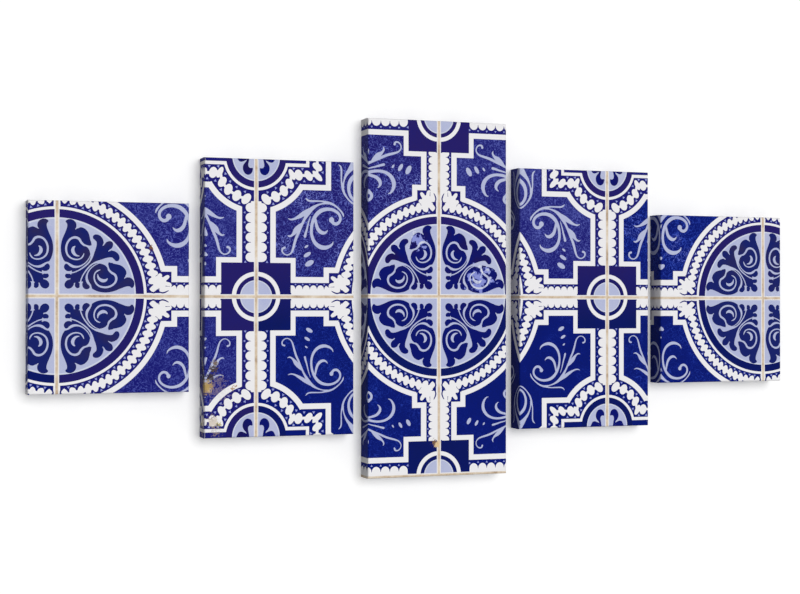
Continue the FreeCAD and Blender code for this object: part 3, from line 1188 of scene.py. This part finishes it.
@dataclass
class Graph:
    """Short ways to add nodes to one node tree."""

    tree: NodeTree

    def add(self, kind: str, inputs: dict | None = None, **settings: object) -> Node:
        """Adds a node.

        Args:
            kind: The node's type, without the ShaderNode in front.
            inputs: Values or sockets by input name or number.
            **settings: Properties set on the node.

        Returns:
            The node.
        """
        node = self.tree.nodes.new(kind if kind.startswith("NodeGroup") else f"ShaderNode{kind}")
        for name, value in settings.items():
            setattr(node, name, value)
        for key, value in (inputs or {}).items():
            if isinstance(value, Socket):
                self.link(value, node.inputs[key])
            else:
                node.inputs[key].default_value = value
        return node

    def link(self, source: Socket, target: Socket) -> None:
        """Joins an output to an input."""
        self.tree.links.new(source, target)

    def math(self, operation: str, *values: object, clamp: bool = False) -> Socket:
        """The result of a Math node."""
        return self.add("Math", dict(enumerate(values)), operation=operation, use_clamp=clamp).outputs[0]

    def times(self, value: object, *others: object) -> Socket:
        """Values multiplied by one another, in the order given."""
        for other in others:
            value = self.math("MULTIPLY", value, other)
        return value

    def plus(self, value: object, factor: object, base: object, clamp: bool = False) -> Socket:
        """A value times a factor, added to a base."""
        return self.math("MULTIPLY_ADD", value, factor, base, clamp=clamp)

    def less(self, value: object, taken: object) -> Socket:
        """A value with another taken from it."""
        return self.math("SUBTRACT", value, taken)

    def away(self, value: object, middle: float) -> Socket:
        """How far a value is from a middle one."""
        return self.math("ABSOLUTE", self.less(value, middle))

    def vector(self, operation: str, *values: object, output: int = 0) -> Socket:
        """The result of a Vector Math node."""
        return self.add("VectorMath", dict(enumerate(values)), operation=operation).outputs[output]

    def split(self, vector: Socket) -> list[Socket]:
        """The x, y and z of a vector."""
        return list(self.add("SeparateXYZ", {0: vector}).outputs)

    def mix(self, share: object, first: object, second: object) -> Socket:
        """One colour mixed over another."""
        return self.add("Mix", {0: share, 6: first, 7: second}, data_type="RGBA").outputs[2]

    def spread(self, value: object, low: float, high: float, to_low: float = 0.0,
               to_high: float = 1.0) -> Socket:
        """A value stretched from one range to another, and held inside it."""
        return self.add("MapRange", {0: value, 1: low, 2: high, 3: to_low, 4: to_high}).outputs[0]

    def noise(self, vector: object, scale: float, detail: float = 2.0, rough: float = 0.5,
              distortion: float = 0.0) -> Socket:
        """A noise between 0 and 1."""
        return self.add("TexNoise", {
            "Vector": vector, "Scale": scale, "Detail": detail, "Roughness": rough, "Distortion": distortion,
        }).outputs[0]

    def waver(self, vector: object, scale: float, detail: float, rough: float = 0.5) -> Socket:
        """A noise around 0."""
        return self.less(self.noise(vector, scale, detail, rough), 0.5)

    def attribute(self, name: str) -> Node:
        """The node that reads an attribute of the mesh."""
        return self.add("Attribute", attribute_name=name)

    def ramp(self, value: object, *stops: tuple) -> Socket:
        """A colour ramp.

        Args:
            value: The value looked up.
            *stops: A position and a colour on a 0 to 255 scale each, as (position, red, green, blue).

        Returns:
            The colour.
        """
        node = self.add("ValToRGB", {0: value})
        elements = node.color_ramp.elements
        ends = {stops[0]: elements[0], stops[-1]: elements[1]}
        for stop, element in ends.items():
            element.position, element.color = stop[0], shade(*stop[1:])
        for position, *colour in stops[1:-1]:
            elements.new(position).color = shade(*colour)
        return node.outputs[0]


@dataclass
class Effect:
    """A shared shader group, built once."""

    name: str
    inputs: dict[str, str]
    outputs: dict[str, str]

    def open(self) -> tuple[Graph, Node]:
        """Makes the empty group.

        Returns:
            Its graph and its input node.
        """
        tree = bpy.data.node_groups.new(self.name, "ShaderNodeTree")
        for sockets, direction in ((self.inputs, "INPUT"), (self.outputs, "OUTPUT")):
            for name, kind in sockets.items():
                tree.interface.new_socket(name, in_out=direction, socket_type=f"NodeSocket{kind}")
        graph = Graph(tree)
        return graph, graph.add("NodeGroupInput")

    def close(self, graph: Graph, *results: Socket) -> NodeTree:
        """Links the results to the group's outputs, in their order, and gives the finished group."""
        graph.add("NodeGroupOutput", dict(zip(self.outputs, results)))
        return graph.tree


@dataclass(frozen=True)
class Weave:
    """Plain woven cotton, as heights and as a faint change of tone that follows them: the slubs' own tone,
    and painted shade in the weave's hollows.
    """

    pitch: float = 0.7 * MM
    wander: float = 0.35 * MM
    wander_scale: float = 160.0
    slub_scale: tuple = (260, 26, 1)

    def build(self) -> NodeTree:
        """Makes the shared group.

        Returns:
            The group that turns places on the flat cloth into threads.
        """
        effect = Effect("plain weave", {"Cloth": "Vector"}, {"Height": "Float", "Tone and hollow shade": "Float"})
        graph, start = effect.open()
        place = start.outputs["Cloth"]
        wobble = graph.noise(place, self.wander_scale)
        threads = [
            graph.math("SINE", graph.times(graph.plus(wobble, self.wander, axis), math.pi / self.pitch))
            for axis in graph.split(place)[:2]
        ]
        slub = graph.noise(graph.vector("MULTIPLY", place, self.slub_scale), 1.0, 3.0)
        height = graph.plus(graph.times(*threads), 0.5, graph.times(slub, 0.5))
        # The tone is the height stretched, so it is darker in the weave's hollows: painted shade there, and
        # the slubs' own tone.
        return effect.close(graph, height, graph.spread(height, -0.2, 0.8))


@dataclass(frozen=True)
class Chip:
    """A ragged spot where glaze or paint has gone, in tiles; on_white is its strength on bare glaze."""

    middle: Point
    reach: float
    fray: float
    colour: tuple[int, int, int]
    on_white: float = 1.0


@dataclass(frozen=True)
class CobaltGlaze:
    """Old hand-painted glaze in cobalt blue, as the print shows it, on tiles a unit apart."""

    speckle: float = 0.36
    lower_speckle: float = 0.45
    calm_tiles: float = 0.52
    calm_lift: float = 0.17
    chips: tuple[Chip, ...] = ()
    worn: tuple[tuple[Point, float], ...] = ()

    @staticmethod
    def spot(graph: Graph, place: Socket, noise: Socket, middle: Point, reach: float, fray: float) -> Socket:
        """A ragged spot.

        Args:
            graph: The group's graph.
            place: Places on the wall.
            noise: What frays its edge, around 0.
            middle: Its middle on the wall.
            reach: Its radius, in tiles.
            fray: How far the noise moves the edge, in tiles.

        Returns:
            1 inside and 0 outside.
        """
        away = graph.vector("DISTANCE", place, (*middle, 0), output=1)
        return graph.spread(graph.plus(noise, fray, away), reach * 0.8, reach * 1.15, 1.0, 0.0)

    @staticmethod
    def column(graph: Graph, across: Socket, middle: float, inside: float, outside: float,
               reach: float = 0.5) -> Socket:
        """One value within reach of a column's middle, in tiles, and another beyond."""
        return graph.spread(graph.away(across, middle), reach - 0.01, reach + 0.01, inside, outside)

    def density(self, graph: Graph, place: Socket, pigment: Socket, broken: Socket, lower: Socket) -> Socket:
        """How thickly the paint lies, with its speckle, its clouds and its worn spots.

        Args:
            graph: The group's graph.
            place: Places on the wall.
            pigment: The drawn share of cobalt.
            broken: How far the wash is broken up.
            lower: 1 in the lower tiles and 0 in the upper ones.

        Returns:
            The share of cobalt that shows.
        """
        across = graph.split(place)[0]
        pale = graph.spread(graph.away(graph.noise(place, 60.0, 1.0, 0.4, 0.8), 0.5), 0.01, 0.055, 1.0, 0.0)
        patches = graph.spread(graph.noise(place, 6.0), 0.36, 0.6, 0.45, 1.0)
        calm = graph.spread(graph.math("FRACT", graph.times(across, 0.5)), 0.49, 0.51, 1.0, 0.0)
        firing = graph.plus(calm, -self.calm_tiles, 1.0)
        firing = graph.times(firing, graph.spread(lower, 0.0, 1.0, 1.0, self.lower_speckle))
        thin = graph.times(pale, broken, patches, firing)
        thin = graph.plus(graph.times(calm, broken, graph.less(1.0, lower)), self.calm_lift, thin)
        clouds = graph.waver(place, 5.0, 4.0, 0.6)
        grain = graph.waver(place, 150.0, 2.0)
        shift = graph.plus(clouds, 0.16, graph.times(grain, 0.12))
        body = graph.plus(shift, graph.spread(pigment, 0.0, 0.4, 0.1, 1.0), pigment)
        blots = graph.waver(place, 30.0, 3.0, 0.6)
        for middle, reach in self.worn:
            bare = self.spot(graph, place, blots, middle, reach, 8 * reach)
            body = graph.times(body, graph.plus(bare, -0.5, 1.0))
        return graph.plus(thin, -self.speckle, body, clamp=True)

    @staticmethod
    def blues(graph: Graph, density: Socket, rich: bool) -> Socket:
        """The colours from bare glaze to the deepest blue.

        Args:
            graph: The group's graph.
            density: The share of cobalt that shows.
            rich: Whether the blue is the lower tiles' stronger one.

        Returns:
            The colour.
        """
        deep = ((0.6, 96, 106, 190), (0.84, 24, 24, 112), (1.0, 36, 26, 98))
        if rich:
            deep = ((0.6, 44, 72, 180), (0.84, 0, 20, 115), (1.0, 3, 18, 88))
        thin = ((0.0, 235, 234, 236), (0.14, 205, 210, 228), (0.3, 178, 184, 214), (0.42, 146, 154, 216))
        return graph.ramp(density, *thin, *deep)

    def leaves(self, graph: Graph, place: Socket, lower: Socket) -> Socket:
        """The leaves' dark blue, greyer on the outer canvases and plum in places.

        Args:
            graph: The group's graph.
            place: Places on the wall.
            lower: 1 in the lower tiles and 0 in the upper ones.

        Returns:
            The colour.
        """
        plum = graph.spread(graph.noise(place, 8.0, 3.0), 0.44, 0.66)
        plum = graph.times(plum, graph.spread(lower, 0.0, 1.0, 1.0, 0.1))
        inner = graph.mix(plum, shade(2, 14, 104), shade(22, 14, 80))
        outer = graph.mix(plum, shade(18, 30, 102), shade(38, 36, 86))
        return graph.mix(self.column(graph, graph.split(place)[0], 0.0, 0.0, 1.0, reach=1.5), inner, outer)

    def build(self) -> NodeTree:
        """Makes the shared group.

        Returns:
            The group that turns ink shares and places on the wall into colour.
        """
        effect = Effect("cobalt glaze", {"Ink": "Color", "Picture": "Vector"}, {"Color": "Color"})
        graph, start = effect.open()
        pigment, broken, joint = graph.add("SeparateColor", {0: start.outputs["Ink"]}).outputs
        place = start.outputs["Picture"]
        across, up, _ = graph.split(place)
        lower = graph.spread(up, -0.15, 0.25, 1.0, 0.0)
        lower = graph.times(lower, self.column(graph, across, -1.5, 0.2, 1.0))
        density = self.density(graph, place, pigment, broken, lower)
        rich = graph.math("MAXIMUM", lower, graph.times(broken, self.column(graph, across, 1.5, 1.0, 0.0)))
        painted = graph.mix(rich, self.blues(graph, density, False), self.blues(graph, density, True))
        leaf = graph.spread(graph.away(pigment, Ink.LEAF.value[0]), 0.012, 0.024, 1.0, 0.0)
        leaf = graph.times(leaf, graph.spread(density, 0.6, 0.9))
        painted = graph.mix(leaf, painted, self.leaves(graph, place, lower))
        grout = graph.ramp(
            graph.noise(place, 7.0, 5.0, 0.7),
            (0.3, 146, 118, 94), (0.46, 205, 184, 158), (0.56, 220, 205, 184), (0.7, 234, 225, 213),
        )
        whole = graph.mix(joint, painted, grout)
        frayed = graph.waver(place, 90.0, 3.0, 0.7)
        for chip in self.chips:
            mask = self.spot(graph, place, frayed, chip.middle, chip.reach, chip.fray)
            mask = graph.times(mask, graph.spread(pigment, 0.1, 0.5, chip.on_white, 1.0))
            whole = graph.mix(mask, whole, shade(*chip.colour))
        return effect.close(graph, whole)


@dataclass(frozen=True)
class PineGrain:
    """Planed pine: pale, with darker late wood in long streaks along X."""

    ring_scale: tuple = (2.5, 60, 60)
    fibre_scale: tuple = (30, 900, 900)

    def build(self) -> NodeTree:
        """Makes the shared group.

        Returns:
            The group that turns places along the bar into wood.
        """
        effect = Effect("pine grain", {"Along": "Vector"}, {"Color": "Color", "Height": "Float"})
        graph, start = effect.open()
        along = start.outputs["Along"]
        rings = graph.noise(graph.vector("MULTIPLY", along, self.ring_scale), 1.0, 3.0, 0.55, 0.6)
        bands = graph.math("FRACT", graph.times(rings, 7.0))
        late = graph.spread(graph.away(bands, 0.5), 0.1, 0.5)
        fibre = graph.noise(graph.vector("MULTIPLY", along, self.fibre_scale), 1.0)
        tone = graph.plus(fibre, 0.35, graph.times(late, 0.65), clamp=True)
        colour = graph.ramp(tone, (0.0, 232, 206, 160), (0.5, 218, 184, 132), (1.0, 188, 142, 88))
        return effect.close(graph, colour, graph.less(1.0, tone))


@dataclass(frozen=True)
class Finish:
    """A material with one Principled shader; each kind below feeds it in its own way."""

    name: str
    roughness: float = 0.6
    metallic: float = 0.0
    specular: float = 0.5
    colour: tuple = (0.8, 0.8, 0.8, 1.0)
    relief: float = 0.15 * MM
    relief_strength: float = 0.5

    def start(self) -> tuple[Material, Graph, Node]:
        """Makes the material.

        Returns:
            The material, its graph and its Principled node.
        """
        material = bpy.data.materials.new(self.name)
        material.use_nodes = True
        shader = material.node_tree.nodes["Principled BSDF"]
        shader.inputs["Roughness"].default_value = self.roughness
        shader.inputs["Metallic"].default_value = self.metallic
        shader.inputs["Specular IOR Level"].default_value = self.specular
        shader.inputs["Base Color"].default_value = self.colour
        return material, Graph(material.node_tree), shader

    @staticmethod
    def threads(graph: Graph, weave: NodeTree) -> Node:
        """The weave group, fed with places on the flat cloth."""
        cloth = graph.attribute("cloth").outputs["Vector"]
        return graph.add("Group", {"Cloth": cloth}, node_tree=weave)

    def bump(self, graph: Graph, shader: Node, height: Socket) -> None:
        """Feeds a height from 0 to 1 to the shader's normal."""
        settings = {"Height": height, "Strength": self.relief_strength, "Distance": self.relief}
        graph.link(graph.add("Bump", settings).outputs[0], shader.inputs["Normal"])


@dataclass(frozen=True)
class PrintedCloth(Finish):
    """The print on primed canvas, bare where the print's bleed ends."""

    bare: tuple = shade(232, 226, 212)
    swing: float = 0.06

    def build(self, glaze: NodeTree, weave: NodeTree) -> Material:
        """Makes the material.

        Args:
            glaze: The group that gives the print's colour.
            weave: The group that gives the threads.

        Returns:
            The material.
        """
        material, graph, shader = self.start()
        ink = graph.attribute("ink").outputs
        picture = graph.attribute("picture").outputs["Vector"]
        print_group = graph.add("Group", {"Ink": ink["Color"], "Picture": picture}, node_tree=glaze)
        threads = self.threads(graph, weave).outputs
        graph.link(graph.mix(ink["Alpha"], print_group.outputs[0], self.bare), shader.inputs["Base Color"])
        low, high = self.roughness - self.swing, self.roughness + self.swing
        graph.link(graph.spread(threads["Tone and hollow shade"], 0, 1, low, high), shader.inputs["Roughness"])
        self.bump(graph, shader, threads["Height"])
        return material


@dataclass(frozen=True)
class RawCloth(Finish):
    """The unprinted inner side of the canvas, with painted shade in the weave's hollows."""

    relief_strength: float = 0.7

    def build(self, weave: NodeTree) -> Material:
        """Makes the material.

        Args:
            weave: The group that gives the threads.

        Returns:
            The material.
        """
        material, graph, shader = self.start()
        threads = self.threads(graph, weave).outputs
        # Darker where the weave is low: painted shade in its hollows, with the slubs' own tone.
        tone = graph.ramp(threads["Tone and hollow shade"], (0.0, 206, 198, 180), (1.0, 236, 231, 219))
        graph.link(tone, shader.inputs["Base Color"])
        self.bump(graph, shader, threads["Height"])
        return material


@dataclass(frozen=True)
class Pine(Finish):
    """Planed pine with its grain along the bar."""

    relief: float = 0.2 * MM
    relief_strength: float = 0.4
    upright: bool = False

    def build(self, grain: NodeTree) -> Material:
        """Makes the material; an upright bar's grain runs along Y.

        Args:
            grain: The group that gives the wood.

        Returns:
            The material.
        """
        material, graph, shader = self.start()
        place = graph.add("TexCoord").outputs["Object"]
        if self.upright:
            x, y, z = graph.split(place)
            place = graph.add("CombineXYZ", {0: y, 1: x, 2: z}).outputs[0]
        wood = graph.add("Group", {"Along": place}, node_tree=grain).outputs
        graph.link(wood["Color"], shader.inputs["Base Color"])
        self.bump(graph, shader, wood["Height"])
        return material


@dataclass(frozen=True)
class Plain(Finish):
    """One even finish."""

    def build(self) -> Material:
        """Makes the material."""
        return self.start()[0]


@dataclass
class Studio:
    """White floor, soft light from the upper right and the camera of the photograph."""

    lens: float = 66.0
    sensor: float = 36.0
    eye: tuple = (-0.8874, -0.0144, 2.3516)
    turn: tuple = (0.374, -19.483, 0.028)
    floor_size: float = 14.0
    key_strength: float = 1.76
    key_from: tuple = (1.05, 1.15, 5.4)
    key_spread: float = 39.0
    fill: float = 0.46
    below: float = 0.12
    floor_glow: float = 0.1

    def build(self) -> None:
        """Sets the floor, the lights, the camera and the view."""
        self.floor()
        self.lights()
        self.camera()
        bpy.context.scene.view_settings.view_transform = "Standard"

    @staticmethod
    def seen(graph: Graph) -> Socket:
        """1 for what the camera sees directly, in a reflection or through glass, and 0 for light."""
        rays = graph.add("LightPath").outputs
        direct = graph.math("MAXIMUM", rays["Is Camera Ray"], rays["Is Glossy Ray"])
        return graph.math("MAXIMUM", direct, rays["Is Transmission Ray"])

    def floor(self) -> None:
        """A large white floor under the set."""
        bpy.ops.mesh.primitive_plane_add(size=self.floor_size, location=(0, 0, 0))
        ground = bpy.context.object
        ground.name = "floor"
        finish = Finish("white_floor", roughness=0.9, specular=0.2, colour=(0.96, 0.96, 0.96, 1.0))
        material, graph, shader = finish.start()
        shader.inputs["Emission Color"].default_value = (1, 1, 1, 1)
        graph.link(graph.times(self.seen(graph), self.floor_glow), shader.inputs["Emission Strength"])
        ground.data.materials.append(material)
        ground.visible_diffuse = False

    def lights(self) -> None:
        """One soft lamp and an even surround, which the camera and reflections see as white."""
        bpy.ops.object.light_add(type="SUN", location=self.key_from)
        lamp = bpy.context.object
        lamp.name = "key"
        lamp.data.energy = self.key_strength
        lamp.data.angle = math.radians(self.key_spread)
        lamp.rotation_euler = Vector(self.key_from).to_track_quat("Z", "Y").to_euler()
        world = bpy.data.worlds.new("surround")
        world.use_nodes = True
        graph = Graph(world.node_tree)
        backdrop = world.node_tree.nodes["Background"]
        heading = graph.split(graph.add("TexCoord").outputs["Generated"])[2]
        light = graph.spread(heading, -0.1, 0.1, self.below, self.fill)
        graph.link(graph.math("MAXIMUM", light, self.seen(graph)), backdrop.inputs["Strength"])
        backdrop.inputs["Color"].default_value = (1, 1, 1, 1)
        bpy.context.scene.world = world

    def camera(self) -> None:
        """The camera of the photograph."""
        data = bpy.data.cameras.new("camera")
        data.lens = self.lens
        data.sensor_width = self.sensor
        data.sensor_fit = "HORIZONTAL"
        camera = bpy.data.objects.new("camera", data)
        camera.location = self.eye
        camera.rotation_euler = Euler([math.radians(angle) for angle in self.turn])
        bpy.context.scene.collection.objects.link(camera)
        bpy.context.scene.camera = camera


@dataclass
class PictureSet:
    """The five canvases."""

    upper: PaintedTile
    lower: PaintedTile
    canvases: list[Canvas] = field(default_factory=lambda: [
        Canvas("left_outer", -2, 300 * MM, (-81.7 * MM, 2.0 * MM), (-2, 0)),
        Canvas("left_inner", -1, 450 * MM, (-40.8 * MM, 2.0 * MM), (-1, 0)),
        Canvas("centre", 0, 600 * MM, (0.8 * MM, 3.3 * MM), (0, 0)),
        Canvas("right_inner", 1, 450 * MM, (43.3 * MM, 2.5 * MM), (1, 0)),
        Canvas("right_outer", 2, 300 * MM, (87.5 * MM, 1.7 * MM), (2, 0)),
    ])
    bars: tuple[str, ...] = ("bottom_rail", "top_rail", "left_stile", "right_stile")

    def build(self, print_finish: Material, raw_finish: Material) -> None:
        """Wraps every frame in its cloth.

        Args:
            print_finish: The outer side's material.
            raw_finish: The inner side's material.
        """
        for canvas in self.canvases:
            wrapped = WrappedSheet(canvas, self.upper, self.lower)
            sheet = wrapped.build()
            sheet.data.materials.append(print_finish)
            sheet.data.materials.append(raw_finish)
            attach(sheet, "root")
            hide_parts(f"canvas_{canvas.name}")
            log.info("%s: %d faces", sheet.name, len(sheet.data.polygons))

    def dress_frames(self, level: Material, upright: Material, steel: Material) -> None:
        """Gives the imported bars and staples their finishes.

        Args:
            level: Pine with its grain along X.
            upright: Pine with its grain along Y.
            steel: The staples' steel.
        """
        finishes = (level, level, upright, upright, steel)
        for canvas in self.canvases:
            for part, finish in zip((*self.bars, "staples"), finishes):
                for material_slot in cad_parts[f"{part}_{canvas.name}"].material_slots:
                    material_slot.material = finish


def old_wall() -> CobaltGlaze:
    """The glaze with its larger chips and worn spots.

    Returns:
        The glaze, with each spot placed in tiles from the centre canvas's crossing of joints.
    """
    on_side = (
        Chip((-1.224, -0.355), 0.014, 0.08, (120, 104, 96)),
        Chip((-1.232, -0.387), 0.02, 0.12, (78, 66, 66)),
        Chip((-1.25, -0.43), 0.022, 0.12, (58, 50, 58)),
        Chip((-1.262, -0.484), 0.034, 0.14, (176, 148, 92)),
        Chip((-1.252, -0.5), 0.012, 0.09, (206, 180, 132)),
        Chip((-1.205, -0.446), 0.02, 0.22, (104, 94, 124), 0.6),
        Chip((-1.2, -0.51), 0.03, 0.45, (112, 100, 136), 0.1),
        Chip((-1.13, -0.49), 0.008, 0.05, (176, 146, 118)),
        Chip((-1.115, -0.478), 0.008, 0.05, (184, 154, 128)),
        Chip((-1.235, -0.667), 0.026, 0.08, (212, 202, 190)),
        Chip((-1.243, -0.64), 0.01, 0.16, (110, 96, 110), 0.4),
        Chip((-1.222, -0.715), 0.016, 0.2, (134, 118, 120), 0.3),
        Chip((-1.205, -0.682), 0.008, 0.08, (176, 166, 92)),
    )
    on_joints = (
        Chip((-0.012, -0.825), 0.018, 0.08, (218, 190, 146)),
        Chip((-0.028, -0.815), 0.012, 0.08, (122, 94, 72)),
        Chip((-1.514, 0.255), 0.011, 0.05, (120, 84, 60)),
    )
    worn = (((0.246, 0.085), 0.05), ((-0.119, 0.307), 0.03), ((0.29, 0.14), 0.024))
    return CobaltGlaze(chips=on_side + on_joints, worn=worn)


def main() -> None:
    """Builds the set in order: drawing, cloth, frames, studio."""
    logging.basicConfig(level=logging.INFO, format="%(message)s")
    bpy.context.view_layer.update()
    upper = PaintedTile(Tile().draw())
    lower = PaintedTile(Tile(scroll_weight=0.74).draw())
    for row, tile in (("upper", upper), ("lower", lower)):
        tile.cut()
        log.info("%s tile: %d pieces", row, len(tile.faces))
    weave = Weave().build()
    grain = PineGrain().build()
    picture = PictureSet(upper, lower)
    picture.build(
        PrintedCloth("printed_canvas_finish", roughness=0.6, specular=0.04).build(old_wall().build(), weave),
        RawCloth("raw_canvas_finish", roughness=0.9).build(weave),
    )
    picture.dress_frames(
        Pine("pine_level", roughness=0.62).build(grain),
        Pine("pine_upright", roughness=0.62, upright=True).build(grain),
        Plain("staple_steel_finish", roughness=0.32, metallic=1.0, colour=shade(190, 192, 196)).build(),
    )
    Studio().build()


if __name__ == "__main__":
    main()
